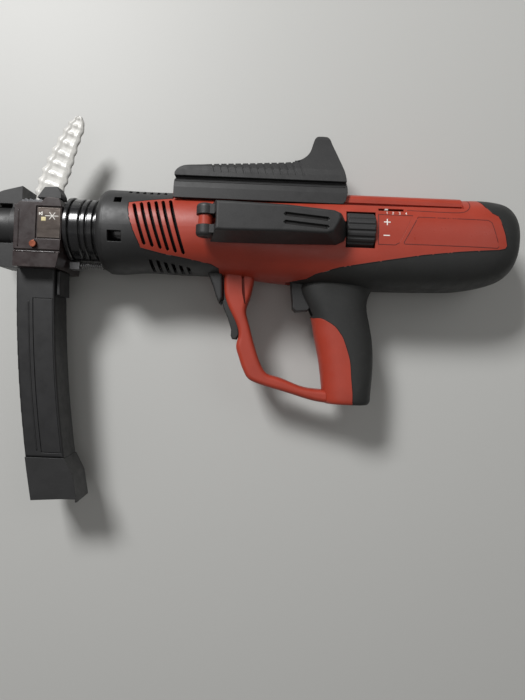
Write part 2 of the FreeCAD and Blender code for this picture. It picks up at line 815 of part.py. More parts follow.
# The return unit: a knurled flange, four bands and a neck that slides into the sleeve.
unit_profile = [("unit_front", "unit_bore")]
for x0, x1, radius in (
    (76, 79.6, "flange_radius"), (80.6, 88.5, "rib_radius"), (90, 93.6, "rib_radius"),
    (95.1, 99.8, "rib_radius"), (101.2, 104, "rib_radius"),
):
    unit_profile += [(x0, "unit_radius") if x0 > 76 else (x0, "flange_radius - 0.8")]
    unit_profile += [(x0 + 0.01, f"{radius} - 0.6"), (x0 + 0.7, radius), (x1 - 0.7, radius), (x1, f"{radius} - 0.6")]
    unit_profile += [(x1 + 0.01, "unit_radius")]
unit_profile += [(148.5, "unit_radius"), ("unit_back", 23), ("unit_back", "unit_bore")]
node(turned("unit_body", unit_profile), "return_unit")

# ---------------------------------------------------------------- nose
guide_nose = [
    (0, "bore_radius"), (0, 8.4), (0.8, "muzzle_radius"), (5, "muzzle_radius"), (9.5, 12.6), (11, 14), (37.7, 14),
    (37.7, "guide_radius"), (76, "guide_radius"), (76, "bore_radius"),
]
nail_way = box(
    "nail_way", "nail_channel_front", -14.4, "-nail_channel_half",
    "nail_channel_back - nail_channel_front", 28.8, "2*nail_channel_half",
)
node(cut("fastener_guide_cut", turned("fastener_guide_body", guide_nose), nail_way), "fastener_guide")

shroud_bore = cylinder("shroud_bore", 14.15, 40, 5)
SHROUD_TOP = [(10, 17.4), (12.5, 24), (22, 28.2), (37.7, 32.4), (37.7, 10), (30, 10), (30, 17.4)]
SHROUD_LOW = [(12, -15.4), (12, -28), (18.5, -34.6), (37.7, -36), (37.7, -10), (30, -10), (30, -15.4)]
shroud_parts = [
    plate("shroud_top", SHROUD_TOP, 27),
    plate("shroud_low", SHROUD_LOW, 27),
    cylinder("shroud_ring", 20, 7.7, 30),
    cylinder("shroud_collar", 17.4, 15, 15),
]
node(cut("shroud", fuse("shroud_solid", *shroud_parts), shroud_bore), "nose_shroud")

BASE = [
    (38, 14), (38, "base_low"), (72.6, "base_low"), ("base_back", -20), ("base_back", 14), (73.5, 19.6),
    (63, 20.6), (59.5, 16.2), (42, 16.2), (40, 14),
]
base = plate("base_body", BASE, "2*base_half")
base_tools = [
    cylinder("base_bore", "guide_radius + 0.1", 60, 30),
    box("base_nails", "nail_channel_front", "base_low - 1", "-nail_channel_half",
        "nail_channel_back - nail_channel_front", 70, "2*nail_channel_half"),
    box("base_feed", 39.8, "base_low - 1", "-nail_channel_half", 24.8, 24.4, "2*nail_channel_half"),
    box("base_mouth", 37.5, "base_low - 1", -14.8, 32.6, 9, 29.6),
]
for side, z in (("left", "base_half - 1.2"), ("right", "-base_half - 1")):
    base_tools.append(box(f"base_recess_{side}", 55.2, -13.4, z, 30, 26.6, 2.2))
    base_tools.append(box(f"base_step_{side}", 30, -23.4, z, 60, 1.6, 2.2))
base_tools.append(cylinder("button_hole", 3.1, 9, 54.5, -17.8, "base_half - 8", "z"))
node(cut("magazine_base", base, *base_tools), "magazine_base")
plates = [
    box("plate_left", 56.4, -12.2, "base_half - 1.2", 18.4, 24.2, 0.7),
    box("plate_right", 56.4, -12.2, "0.5 - base_half", 18.4, 24.2, 0.7),
]
node(plates[0], "base_plate_left")
node(plates[1], "base_plate_right")
button_profile = [(51.9, -17.8), (54.5, -20.4), (57.1, -17.8), (54.5, -15.2)]
release = doc.addObject("Part::Cylinder", "release")
bind(release, "Radius", 2.7)
bind(release, "Height", 7)
place(release, 54.5, -17.8, "base_half - 4.2")
node(release, "release_button")

cover_profile = [(54, 20.9), (60, 29.6), (70.4, 30.2), (73.4, 24.4), (73.4, 20.9), (63, 20.9), (62.6, 21.2)]
cover = plate("cover_body", cover_profile, 13, 10)
node(cover, "feed_latch")
strap = [(42, 16.5), (59.4, 16.5), (61.8, 19.4), (59.4, 18.4), (57.4, 19.6), (55.4, 18.4), (53.4, 19.6),
         (51.4, 18.4), (49.4, 19.6), (47.4, 18.4), (45.4, 19.6), (43.4, 18.4), (42, 18.4)]
node(plate("strap_body", strap, 14, 9.6), "toothed_strap")

# ---------------------------------------------------------------- magazine
bend = dim("mag_bend")
bend_x = dim("mag_front") - 0.1 + bend


def arc_x(offset, y):
    """x on the magazine's curve at a distance behind its front edge."""
    return bend_x - math.sqrt((bend - offset) ** 2 - (y + 20) ** 2)


def curved(offsets, y_top, y_low, half):
    """A slab of the curved magazine between two distances from its front edge."""
    near, far = offsets
    edges = []
    for offset in (near, far):
        ends = [Vector(arc_x(offset, y), y, 0) for y in (y_top, (y_top + y_low) / 2, y_low)]
        edges.append(Part.Arc(*ends).toShape())
    for y in (y_top, y_low):
        edges.append(Part.LineSegment(Vector(arc_x(near, y), y, 0), Vector(arc_x(far, y), y, 0)).toShape())
    return raised(Part.Wire(Part.__sortEdges__(edges)), *(half if isinstance(half, tuple) else (-half, half)))


mag_width, mag_half, mag_low = dim("mag_width"), dim("mag_half"), dim("mag_low")
foot_top = dim("foot_top")
body = curved((0, mag_width), -28.4, foot_top, mag_half)
body = softened(body, 2, mag_half, -mag_half)
body = body.cut(block((20, 38.3), (-36.3, 0), (-FAR, FAR)))
body = body.cut(curved((2.5, mag_width - 2.5), -20, -240, 8.5))
panels = []
for low, high in ((mag_half - 0.9, mag_half + 1), (-mag_half - 1, 0.9 - mag_half)):
    body = body.cut(curved((14, mag_width - 1.6), -60, -188, (low, high)))
for low in (mag_half - 0.9, 0.3 - mag_half):
    panels.append(curved((14.4, mag_width - 2), -60.4, -187.6, (low, low + 0.6)))
node(feature("magazine_body", one_solid(body)), "magazine_body")
node(feature("magazine_panel_left", panels[0]), "magazine_panel_left")
node(feature("magazine_panel_right", panels[1]), "magazine_panel_right")
foot = curved((0, mag_width), foot_top - 0.1, mag_low, mag_half)
heel = dim("foot_step")
far_edge = [(arc_x(mag_width - 3, y), y) for y in (foot_top, -206, mag_low)]
heel_edge = [(arc_x(mag_width + reach, y), y) for y, reach in ((mag_low, heel), (-206, heel), (foot_top, 0.2))]
foot = foot.fuse(prism(far_edge + heel_edge, -mag_half, mag_half)).removeSplitter()
trim = prism([(50, mag_low - 1), (51, mag_low), (80, mag_low + 2.2), (92, mag_low + 2.4), (92, mag_low - 1)], -FAR, FAR)
foot = softened(foot.cut(trim), 2, mag_half, -mag_half)
foot = foot.cut(curved((2.5, mag_width - 2.5), foot_top + 5, mag_low + 6, 8.5))
node(feature("magazine_foot", foot), "magazine_foot")
collar = curved((mag_width + 0.1, mag_width + 3.4), -36.4, -57, 11)
node(feature("magazine_latch", softened(collar, 1.2, 11, -11)), "magazine_latch")

nails = []
nail_radius = dim("nail_radius")
for i in range(20):
    y = -22 - 9.4 * i
    x = arc_x(5.2, y)
    nail = rod(nail_radius, x + 3.4, x + 21.4, y)
    tip = Part.makeCone(0.4, nail_radius, 3.4, Vector(x, y, 0), Vector(1, 0, 0))
    nails.append(nail.fuse(tip).fuse(rod(4.1, x + 21.4, x + 23, y)))
node(feature("nails", Part.makeCompound(nails)), "nails")

# The emptied carrier strip that leaves the top of the nose, leaning back.
CARRIERS = [
    (41.6, 8.4), (41.2, 20), (39.4, 26), (41.4, 34), (44.6, 44), (48.6, 54), (53.4, 64), (58.6, 73.4), (63.6, 82),
    (68.8, 91.4), (73.6, 98.8), (77.4, 99.6), (82.4, 95), (83.2, 88), (81.6, 79), (78.4, 68.6), (73.6, 59),
    (69.6, 50), (66, 40), (63.4, 30), (59.2, 22), (59.2, 8.4),
]
links = plate("links_body", CARRIERS, 6)
link_holes = []
for i, (x, y) in enumerate(
    [(50, 16), (51.6, 26), (54.4, 36), (57.6, 46), (61.6, 56), (65.6, 65.6), (69.6, 75), (74.4, 85)]
):
    link_holes.append(cylinder(f"link_hole_{i}", 2.6, 20, x, y, -10, "z"))
node(cut("links", links, *link_holes), "carrier_strip")

# Feed rod and its spring, below the barrel.
clamp = box("clamp", "base_back + 0.3", "feed_y - 4", -4.5, "clamp_back - base_back - 0.3", 6.1, 9)
clamp_bore = cylinder("clamp_bore", "feed_radius + 0.1", 20, 70, "feed_y")
node(cut("clamp_cut", clamp, clamp_bore), "rod_clamp")
node(cylinder("feed_rod_body", "feed_radius", "feed_back - base_back - 0.5", "base_back + 0.4", "feed_y"), "feed_rod")
feed = coil(dim("coil_radius"), dim("coil_wire"), dim("clamp_back") + 0.1, sleeve_front - 0.3, 11, dim("feed_y"), 0)
node(feature("feed_spring_coil", feed), "feed_spring")

# ---------------------------------------------------------------- cocking slide
slide_front, slide_back = dim("slide_front"), dim("slide_back")
slide_half, slide_low, slide_top = dim("slide_half"), dim("slide_low"), dim("slide_top")
runner_top = dim("runner_top")
section = mirrored([
    (slide_half, slide_low), (slide_half, 33), (27, 37.4), (24.4, 40.2), (21, slide_top), (21, dim("pad_low")),
])
slide = across(section, slide_front, slide_back)
room = mirrored([
    (bed_half + gap, slide_low - 1), (bed_half + gap, 29.8), (23.9, 32.6), (20.7, 34.5), (17.5, bed_top + gap),
])
slide = slide.cut(across(room, 100, 400))
nose_cut = prism([(150, 20), (164, 20), (164.6, 30), (166.4, 60), (150, 60)], -FAR, FAR)
tail_cut = prism([(297, 20), (303.6, 26.6), (305.2, 34), (304.4, 60), (330, 60), (330, 20)], -FAR, FAR)
slide = slide.cut(nose_cut).cut(tail_cut)
node(feature("cocking_slide_body", one_solid(slide)), "cocking_slide")
runners = []
for side in (-1, 1):
    z_range = sorted((side * (bed_web + gap), side * (bed_half + gap - 0.02)))
    runners.append(block((172, 296), (slide_low, runner_top), z_range))
node(feature("runner_left", runners[1]), "slide_runner_left")
node(feature("runner_right", runners[0]), "slide_runner_right")

PAD_TOP = [
    (165, 45.2), (167.2, 48.6), (170.8, 51), (181, 52.8), (193.6, 54.1), (214.4, 55.8), (230, 57), (245.6, 58.4),
    (255, 59.2), (261.2, 60.1), (265.4, 60.9), (268.4, 62.4), (271.8, 65.3), (274.4, 69), (276.2, 74.4),
    (277.6, 79.6), (280, 84.9), (283, 86.9), (287.2, 87), (289.9, 85.3), (292.4, 79.2), (295.1, 71.9),
    (298.4, 63.4), (301, 56.5), (303.2, 49.6), (304.4, dim("pad_low")),
]


def grip_pad(inset):
    low = dim("pad_low")
    side_view = outline(
        [(165, low), (165, 45.2)], PAD_TOP, [(304.4, low), (165, low)]
    )
    form = raised(side_view, -FAR, FAR)
    half = dim("pad_half") - inset
    ends = mirrored([
        (half, low - 1), (half - 0.2, 48), (half - 1.6, 53), (half - 4.4, 59), (half - 7, 65), (half - 9.6, 71),
        (half - 12.2, 77), (half - 15, 82.4), (half - 18.4, 86), (half - 21.5, 87.6),
    ])
    form = form.common(across(ends, 150, 320))
    chamfer = mirrored([
        (half, low - 1), (half, 50.5), (half - 3, 53.5), (half - 7.5, 60.4), (half - 12, 61.6), (half - 16, 62),
    ])
    front = across(chamfer, 150, 262)
    return form.common(front.fuse(block((262, 330), (0, 120), (-FAR, FAR))))


pad = grip_pad(0)
kernel = grip_pad(0.6)
kernel = kernel.common(kernel.translated(Vector(0, -0.6, 0)))
grooves = []
for i in range(13):
    x = 197 + 6 * i
    grooves.append(prism([(x, 46.6), (x + 1.6, 46.6), (x - 2.9, 60.4), (x - 4.5, 60.4)], -FAR, FAR))
ribs = Part.makeCompound(grooves)
pad = pad.cut(ribs.cut(kernel))
node(feature("slide_pad", one_solid(pad)), "slide_pad")

# ---------------------------------------------------------------- side lever
hinge_x, hinge_z = dim("hinge_x"), dim("hinge_z")
hinge_radius, pin_radius = dim("hinge_radius"), dim("pin_radius")
lever_low_z, lever_top_z = dim("lever_low_z"), dim("lever_top_z")
LEVER_LOW = [
    (197.6, -12.2), (208, -12.4), (258, -11.7), (296, -10.6), (302.2, -7.6), (304, -2), (303.4, 6), (300.6, 12.4),
    (296, 14.6), (258, 16.2), (208, 17.2), (197.6, 17.2),
]
LEVER_TOP = [
    (203, -6.4), (210, -6.7), (257, -5.7), (286, -6.1), (291, -4.4), (294.2, 0.8), (296.6, 5.4), (296.2, 9.2),
    (291.4, 11.2), (256, 14.2), (214, 15.1), (203, 15.2),
]


def polygon_wire(points, z):
    corners = [Vector(x, y, z) for x, y in points]
    return Part.makePolygon([*corners, corners[0]])


def shrunk(points, z, by):
    wire = polygon_wire(points, z).makeOffset2D(-by, 2)
    return wire


lever = Part.makeLoft([polygon_wire(LEVER_LOW, lever_low_z), polygon_wire(LEVER_TOP, lever_top_z)], True, True)
lever = softened(lever, 2.2, lever_top_z)
t = dim("lever_shell")
hollow_low = [(200.6, -9.6), (208, -9.8), (258, -9.1), (295, -8.1), (299.6, -6), (301.2, -2), (300.6, 5), (298.4, 10.4),
              (295, 12), (258, 13.6), (208, 14.6), (200.6, 14.6)]
hollow_top = [(205.6, -4.2), (210, -4.3), (257, -3.4), (285, -3.7), (289, -2.4), (291.8, 1.4), (293.8, 5.2), (293.6, 7.6),
              (290.4, 8.8), (256, 11.7), (214, 12.6), (205.6, 12.6)]
hollow = Part.makeLoft(
    [polygon_wire(hollow_low, lever_low_z - 0.1), polygon_wire(hollow_top, lever_top_z - t)], True, True
)
lever = lever.cut(hollow)


def pin_rod(radius, y0, y1):
    return Part.makeCylinder(radius, y1 - y0, Vector(hinge_x, y0, hinge_z), Vector(0, 1, 0))


for y0, y1, rounded_end in ((-10.4, -1.6, -10.4), (6.6, 15.2, 15.2)):
    lobe = pin_rod(hinge_radius, y0, y1)
    lobe = lobe.makeFillet(3, [edge for edge in lobe.Edges if abs(edge.BoundBox.Center.y - rounded_end) < 0.01])
    arm = block((hinge_x, 204), (max(y0, -8), min(y1, 14)), (hinge_z - hinge_radius + 1, hinge_z + hinge_radius - 1))
    lever = lever.fuse(lobe).fuse(arm)
knuckle_room = block((184, 202.9), (-1.6, 6.6), (30, 60))
lever = lever.cut(knuckle_room).cut(pin_rod(pin_radius + 0.3, -20, 30))
for y0, slope in ((6.9, -2.6), (0.9, -2.6)):
    rail = [(255, y0 + 1.5), (287, y0 + slope + 1.5), (288.4, y0 + slope), (287, y0 + slope - 1.5), (255, y0 - 1.5),
            (253.6, y0)]
    lever = lever.cut(prism(rail, 56.3, 70))
node(feature("side_lever_body", one_solid(lever)), "side_lever")
knuckle = pin_rod(5.6, -1.2, 6.2).fuse(block((hinge_x - 5.6, hinge_x + 5.6), (-1.2, 6.2), (37, hinge_z)))
foot_pad = block((hinge_x - 8, hinge_x + 8), (-4, 9), (32, 36.6))
knuckle = knuckle.fuse(foot_pad).cut(outer)
knuckle = one_solid(knuckle.cut(pin_rod(pin_radius, -20, 30)))
node(feature("lever_bracket_body", knuckle), "lever_bracket")
lever_pin = cylinder("lever_pin", "pin_radius - 0.02", 22, "hinge_x", -9, "hinge_z", "y")
node(lever_pin, "lever_pin")

# ---------------------------------------------------------------- power wheel and marker
wheel = doc.addObject("PartDesign::Body", "wheel_body")
wheel_sketch = outline_sketch(wheel, [
    ("wheel_front", 0), ("wheel_front", "wheel_radius - 1"), ("wheel_front + 1", "wheel_radius"),
    ("wheel_front + wheel_width - 1", "wheel_radius"), ("wheel_front + wheel_width", "wheel_radius - 1"),
    ("wheel_front + wheel_width", 0),
])
wheel_turn = wheel.newObject("PartDesign::Revolution", "wheel_turn")
wheel_turn.Profile = wheel_sketch
wheel_turn.ReferenceAxis = (next(f for f in wheel.Origin.OriginFeatures if f.Role == "X_Axis"), [""])
wheel_turn.Angle = 360
doc.recompute()
notches = []
for i in range(18):
    angle = 2 * math.pi * i / 18
    reach = dim("wheel_radius") + 0.5
    notch = doc.addObject("Part::Cylinder", f"wheel_notch_{i}")
    bind(notch, "Radius", "2*wheel_groove")
    bind(notch, "Height", "wheel_width + 4")
    place(notch, "wheel_front - 2", reach * math.cos(angle), reach * math.sin(angle), TURN["x"])
    notches.append(notch)
wheel_axle = cylinder("wheel_axle", "spindle_radius", 37, "wheel_front - 7")
wheel_cut = cut("wheel_cut", wheel, *notches, wheel_axle)
wheel_cut.Placement = Placement(Vector(0, wheel_y, wheel_z), Rotation())
wheel_cut.setExpression("Placement.Base.y", bound("wheel_y"))
wheel_cut.setExpression("Placement.Base.z", bound("wheel_z"))
node(wheel_cut, "power_wheel")
spindle = fuse(
    "spindle",
    cylinder("spindle_body", "spindle_radius - 0.02", 36, "wheel_front - 6", "wheel_y", "wheel_z"),
    cylinder("spindle_collar", "collar_radius", 3.9, "wheel_front - 4", "wheel_y", "wheel_z"),
)
node(spindle, "wheel_spindle")
carrier_parts = []
for x in (wheel_front - 5.9, wheel_back + 1.4):
    cheek = block((x, x + 1.5), (wheel_y - 6.5, wheel_y + 6.5), (12.4, 32.4))
    carrier_parts.append(cheek.cut(rod(dim("spindle_radius") + 0.3, x - 1, x + 4, wheel_y, wheel_z)))
carrier_parts.append(block((wheel_front - 5.9, wheel_back + 2.9), (wheel_y - 4, wheel_y + 4), (12.4, 13.2)))
carrier = carrier_parts[0].multiFuse(carrier_parts[1:]).removeSplitter()
node(feature("wheel_carrier_body", one_solid(carrier)), "wheel_carrier")
marker = block((marker_front + 5, marker_front + 7.4), (marker_y - 0.6, marker_y + 0.6), (25, 32.6))
marker = marker.fuse(block((marker_front + 3, marker_front + 9.4), (marker_y - 4, marker_y - 0), (22.5, 26.4)))
node(feature("marker_body", marker), "power_marker")

# ---------------------------------------------------------------- trigger group
TRIGGER = [
    (263.4, -29.6), (263.4, -38), (264.2, -46), (265.4, -53), (265.6, -59), (268.4, -62), (278.6, -60.8),
    (281, -57.6), (281, -38), (272.6, -38), (272.6, -29.6),
]
trigger = raised(outline(*zip(TRIGGER, [*TRIGGER[1:], TRIGGER[0]])), -trigger_half, trigger_half)
trigger = softened(trigger, 1.2, trigger_half, -trigger_half)
node(feature("trigger_body", trigger), "trigger")
trigger_spring = coil(2.4, 0.45, 280.8, 288.6, 5, -44, 0)
SEAR = [(279, -34.6), (279, -31), (287, -31), (287, -28.4), (297, -28.4), (297, -34.6)]
sear = plate("sear_body", SEAR, 6)
sear_hole = cylinder("sear_hole", 1.75, 40, 290, -32, -20, "z")
node(cut("sear_cut", sear, sear_hole), "sear")
node(cylinder("sear_pin_body", 1.7, 26, 290, -32, -13, "z"), "sear_pin")

# ---------------------------------------------------------------- cartridge strip
cartridge_radius = dim("cartridge_radius")
pitch = dim("cartridge_pitch")
strip = block((strip_front + 2.4, strip_front + 4.8), (-95.4, 5.2), (-4.9, 4.9))
cartridges = []
for i in range(10):
    y = -pitch * i
    strip = strip.cut(rod(cartridge_radius + 0.1, strip_front, strip_back, y))
    case = rod(cartridge_radius, strip_front + 2.4, strip_front + 16, y)
    cartridges.append(case.fuse(rod(4, strip_front + 16, strip_front + 17.2, y)))
node(feature("cartridge_strip_body", strip), "cartridge_strip")
node(feature("cartridge_cases", Part.makeCompound(cartridges)), "cartridges")

# ---------------------------------------------------------------- checks and export
doc.recompute()
for obj in doc.Objects:
    if "Invalid" in obj.State or "Error" in obj.State:
        raise RuntimeError(f"{obj.Label} did not recompute: {obj.State}")
for obj in NODES:
    if obj.Shape.isNull() or not obj.Shape.isValid() or obj.Shape.Volume <= 0:
        raise RuntimeError(f"{obj.Label} has no valid solid")

os.makedirs("parts", exist_ok=True)
for obj in NODES:
    obj.Shape.exportStep(f"parts/{obj.Label}.step")
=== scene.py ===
"""The powder-actuated nail gun on a pale studio floor.

Lengths in the tables are in millimetres, in the CAD frame: +X back along the driving axis from the muzzle,
+Y the tool's top, +Z up from the floor."""

import json
import math

import bmesh
import bpy
from mathutils import Matrix, Vector
from mathutils.bvhtree import BVHTree


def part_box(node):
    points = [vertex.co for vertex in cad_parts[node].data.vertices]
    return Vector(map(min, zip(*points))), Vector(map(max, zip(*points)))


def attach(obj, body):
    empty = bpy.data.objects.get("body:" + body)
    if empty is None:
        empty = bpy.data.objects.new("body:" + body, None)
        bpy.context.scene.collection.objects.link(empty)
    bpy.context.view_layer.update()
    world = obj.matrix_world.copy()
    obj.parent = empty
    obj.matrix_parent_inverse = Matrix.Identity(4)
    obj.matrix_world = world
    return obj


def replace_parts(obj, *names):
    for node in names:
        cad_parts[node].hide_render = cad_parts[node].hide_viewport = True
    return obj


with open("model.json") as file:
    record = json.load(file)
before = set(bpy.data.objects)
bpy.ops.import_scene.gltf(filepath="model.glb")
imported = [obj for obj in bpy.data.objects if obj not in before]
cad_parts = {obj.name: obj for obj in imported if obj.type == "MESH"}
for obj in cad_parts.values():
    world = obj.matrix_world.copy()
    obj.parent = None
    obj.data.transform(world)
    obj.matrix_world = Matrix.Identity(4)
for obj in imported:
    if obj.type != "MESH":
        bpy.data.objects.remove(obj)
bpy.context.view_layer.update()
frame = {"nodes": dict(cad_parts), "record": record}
nodes = frame["nodes"]
MM = 0.001
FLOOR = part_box("housing_right")[0][2]
OUTSIDE = 0.2  # metres to the left or right that are clear of the whole object
FLOOR_GAP = 0.2  # marks keep this far above the flat that the tool rests on
BREAK = 2.5  # a mark breaks off where the surface jumps by more than this


# ---------------------------------------------------------------- materials
def link(tree, source, target):
    tree.links.new(source, target)


def add(tree, kind, **inputs):
    """A shader node with some of its sockets set, by name."""
    shader = tree.nodes.new(kind)
    for name, value in inputs.items():
        socket = shader.inputs[name.replace("_", " ")]
        if hasattr(value, "is_output"):
            link(tree, value, socket)
        else:
            socket.default_value = value
    return shader


def noise(tree, where, scale, detail=4.0, rough=0.55, distortion=0.0):
    shader = add(
        tree, "ShaderNodeTexNoise", Scale=scale, Detail=detail, Roughness=rough, Distortion=distortion
    )
    link(tree, where, shader.inputs["Vector"])
    return shader.outputs["Fac"]


def remap(tree, value, low, high, out_low=0.0, out_high=1.0):
    shader = tree.nodes.new("ShaderNodeMapRange")
    link(tree, value, shader.inputs["Value"])
    for name, number in (("From Min", low), ("From Max", high), ("To Min", out_low), ("To Max", out_high)):
        shader.inputs[name].default_value = number
    return shader.outputs["Result"]


def mix(tree, factor, first, second, mode="MIX"):
    shader = tree.nodes.new("ShaderNodeMix")
    shader.data_type = "RGBA"
    shader.blend_type = mode
    for socket, value in ((shader.inputs[0], factor), (shader.inputs[6], first), (shader.inputs[7], second)):
        if hasattr(value, "is_output"):
            link(tree, value, socket)
        elif isinstance(value, tuple):
            socket.default_value = (*value, 1.0)
        else:
            socket.default_value = value
    return shader.outputs[2]


def times(tree, first, second, operation="MULTIPLY"):
    shader = tree.nodes.new("ShaderNodeMath")
    shader.operation = operation
    for socket, value in zip(shader.inputs, (first, second)):
        if hasattr(value, "is_output"):
            link(tree, value, socket)
        else:
            socket.default_value = value
    return shader.outputs[0]


MATERIALS = {}


def finish(
    name,
    color,
    rough=0.5,
    metal=0.0,
    vary=0.12,
    grain=700.0,
    grain_depth=0.00004,
    scuffs=0.15,
    scuff_color=None,
    dust=0.0,
    dust_color=(0.45, 0.43, 0.4),
    edge=0.0006,
    edge_color=None,
    edge_amount=0.35,
    coat=0.0,
    stretch=(1, 1, 1),
    scratch=0.0,
    through=0.0,
):
    """A worn surface: mottled colour, moulded or machined grain, scuffs, specks of dust and paler edges."""
    made = bpy.data.materials.new(name)
    made.use_nodes = True
    tree = made.node_tree
    shader = tree.nodes["Principled BSDF"]
    where = tree.nodes.new("ShaderNodeTexCoord").outputs["Object"]
    mapping = tree.nodes.new("ShaderNodeMapping")
    link(tree, where, mapping.inputs["Vector"])
    mapping.inputs["Scale"].default_value = stretch
    drawn = mapping.outputs["Vector"]
    dark = tuple(c * (1 - vary) for c in color)
    light = tuple(min(1, c * (1 + vary)) for c in color)
    cloud = remap(tree, noise(tree, where, 38, 5), 0.3, 0.7)
    tone = mix(tree, cloud, dark, light)
    rubs = remap(tree, noise(tree, drawn, 160, 8, 0.72, 0.6), 0.56, 0.74)
    patches = remap(tree, noise(tree, where, 24, 3), 0.42, 0.66)
    worn = times(tree, times(tree, rubs, patches), scuffs)
    tone = mix(tree, worn, tone, scuff_color or tuple(min(1, c * 2.2 + 0.03) for c in color))
    if dust:
        specks = remap(tree, noise(tree, where, 900, 6, 0.7), 0.55, 0.8)
        haze = times(tree, times(tree, specks, remap(tree, noise(tree, where, 30, 4), 0.35, 0.7)), dust)
        tone = mix(tree, haze, tone, dust_color)
    if edge:
        rounded = add(tree, "ShaderNodeBevel", Radius=edge)
        rounded.samples = 4
        flat = tree.nodes.new("ShaderNodeNewGeometry").outputs["Normal"]
        dot = tree.nodes.new("ShaderNodeVectorMath")
        dot.operation = "DOT_PRODUCT"
        link(tree, rounded.outputs["Normal"], dot.inputs[0])
        link(tree, flat, dot.inputs[1])
        ridge = remap(tree, dot.outputs["Value"], 0.97, 0.75, 0, edge_amount)
        broken = times(tree, ridge, remap(tree, noise(tree, where, 210, 5), 0.35, 0.6))
        tone = mix(tree, broken, tone, edge_color or tuple(min(1, c * 1.9 + 0.02) for c in color))
    link(tree, tone, shader.inputs["Base Color"])
    glossiest, dullest = max(0.02, rough - 0.09), min(1, rough + 0.09)
    sheen = remap(tree, noise(tree, drawn, 120, 6, 0.65), 0.3, 0.7, glossiest, dullest)
    link(tree, times(tree, sheen, times(tree, worn, 0.3), "ADD"), shader.inputs["Roughness"])
    shader.inputs["Metallic"].default_value = metal
    shader.inputs["Coat Weight"].default_value = coat
    if coat:
        shader.inputs["Coat Roughness"].default_value = 0.12
    if through:
        shader.inputs["Subsurface Weight"].default_value = through
        shader.inputs["Subsurface Radius"].default_value = (0.004, 0.004, 0.0038)
    fine = noise(tree, drawn, grain, 3, 0.5)
    if scratch:
        lines = noise(tree, drawn, grain * 0.3, 9, 0.8, 1.2)
        fine = times(tree, fine, times(tree, lines, scratch), "ADD")
    bump = add(tree, "ShaderNodeBump", Strength=0.6, Distance=grain_depth)
    link(tree, fine, bump.inputs["Height"])
    if edge:
        link(tree, rounded.outputs["Normal"], bump.inputs["Normal"])
    link(tree, bump.outputs["Normal"], shader.inputs["Normal"])
    MATERIALS[name] = made
    return made


RED = (0.335, 0.037, 0.018)
finish(
    "red_plastic", RED, rough=0.44, vary=0.08, grain=1100, grain_depth=0.00006, scuffs=0.12,
    scuff_color=(0.42, 0.11, 0.085), dust=0.10, dust_color=(0.42, 0.2, 0.16),
    edge_color=(0.47, 0.12, 0.085),
)
finish("badge", (0.325, 0.039, 0.021), rough=0.34, vary=0.05, grain=500, grain_depth=0.00002, scuffs=0.1,
       scuff_color=(0.42, 0.11, 0.085), dust=0.08, dust_color=(0.42, 0.2, 0.16))
finish(
    "black_plastic", (0.017, 0.017, 0.0175), rough=0.5, grain=1300, grain_depth=0.00009, scuffs=0.3,
    scuff_color=(0.07, 0.068, 0.064), dust=0.22, dust_color=(0.13, 0.125, 0.115),
    edge_color=(0.075, 0.075, 0.072),
)
finish(
    "black_grip", (0.015, 0.0155, 0.015), rough=0.56, grain=1500, grain_depth=0.00010, scuffs=0.22,
    scuff_color=(0.085, 0.085, 0.08), dust=0.2, dust_color=(0.1, 0.096, 0.09),
    edge_color=(0.05, 0.05, 0.048),
)
finish("rubber", (0.019, 0.019, 0.0195), rough=0.6, grain=1200, grain_depth=0.00010, scuffs=0.3,
       scuff_color=(0.10, 0.10, 0.095), dust=0.35, dust_color=(0.2, 0.19, 0.18), edge_color=(0.1, 0.1, 0.1))
finish(
    "magazine_black", (0.010, 0.010, 0.0108), rough=0.5, grain=900, grain_depth=0.00005, scuffs=0.16,
    scuff_color=(0.045, 0.044, 0.041), dust=0.16, dust_color=(0.11, 0.1, 0.09),
    edge_color=(0.06, 0.06, 0.06),
)
finish("gloss_black", (0.010, 0.010, 0.011), rough=0.22, grain=300, grain_depth=0.00003, scuffs=0.3,
       scuff_color=(0.09, 0.09, 0.09), dust=0.15, stretch=(0.12, 1, 1), scratch=0.8, coat=0.3,
       edge_color=(0.16, 0.16, 0.16))
finish(
    "base_paint", (0.021, 0.0125, 0.0125), rough=0.36, vary=0.25, grain=600, grain_depth=0.00005,
    scuffs=0.4, scuff_color=(0.07, 0.042, 0.038), dust=0.2, dust_color=(0.11, 0.08, 0.07),
    edge_color=(0.2, 0.14, 0.125), edge_amount=0.6, coat=0.15,
)
finish("plate_metal", (0.085, 0.07, 0.062), rough=0.35, metal=0.8, vary=0.3, grain=500, grain_depth=0.00004,
       scuffs=0.5, scuff_color=(0.3, 0.26, 0.23), dust=0.15, scratch=1.0, stretch=(0.3, 1, 1),
       edge_color=(0.6, 0.55, 0.5), edge_amount=0.8)
finish(
    "copper", (0.27, 0.085, 0.05), rough=0.35, metal=0.9, vary=0.2, scuffs=0.4,
    scuff_color=(0.2, 0.08, 0.05),
)
finish(
    "steel", (0.36, 0.36, 0.37), rough=0.33, metal=1.0, vary=0.12, grain=420, grain_depth=0.00003,
    scuffs=0.3, scuff_color=(0.16, 0.15, 0.14), scratch=1.0, stretch=(0.15, 1, 1),
    edge_color=(0.7, 0.7, 0.7),
)
finish(
    "dark_steel", (0.10, 0.10, 0.105), rough=0.32, metal=0.9, vary=0.2, grain=420, grain_depth=0.00003,
    scuffs=0.5, scuff_color=(0.28, 0.27, 0.26), scratch=1.0, stretch=(0.15, 1, 1),
    edge_color=(0.5, 0.5, 0.5), edge_amount=0.6,
)
finish(
    "spring", (0.42, 0.42, 0.42), rough=0.28, metal=1.0, vary=0.15, grain=600, grain_depth=0.00002,
    scuffs=0.3, scuff_color=(0.12, 0.11, 0.1), edge=0.0,
)
